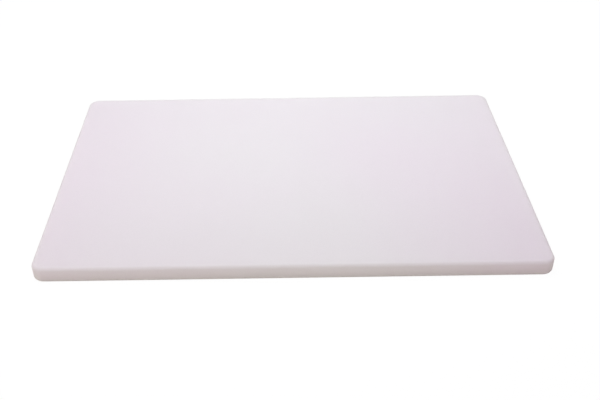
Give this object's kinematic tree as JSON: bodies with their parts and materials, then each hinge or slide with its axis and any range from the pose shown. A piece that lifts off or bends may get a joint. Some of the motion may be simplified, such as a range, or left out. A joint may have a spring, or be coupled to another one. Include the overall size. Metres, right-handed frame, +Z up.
{
  "type": "cutting board",
  "caption": "Flat rectangular white plastic cutting board, a solid slab with rounded corners and softened edges, for cutting food on either face.",
  "frame": {"origin": "middle of the underside, on the surface that the board lies on", "axes": "+X along the long side, +Y along the short side away from the user, +Z up out of the working face"},
  "size_m": [0.6, 0.4, 0.02],
  "materials": {
    "white_polyethylene": "satin white, finely grained, slightly translucent at the edges"
  },
  "bodies": {
    "root": {"board": "white_polyethylene"}
  },
  "joints": []
}
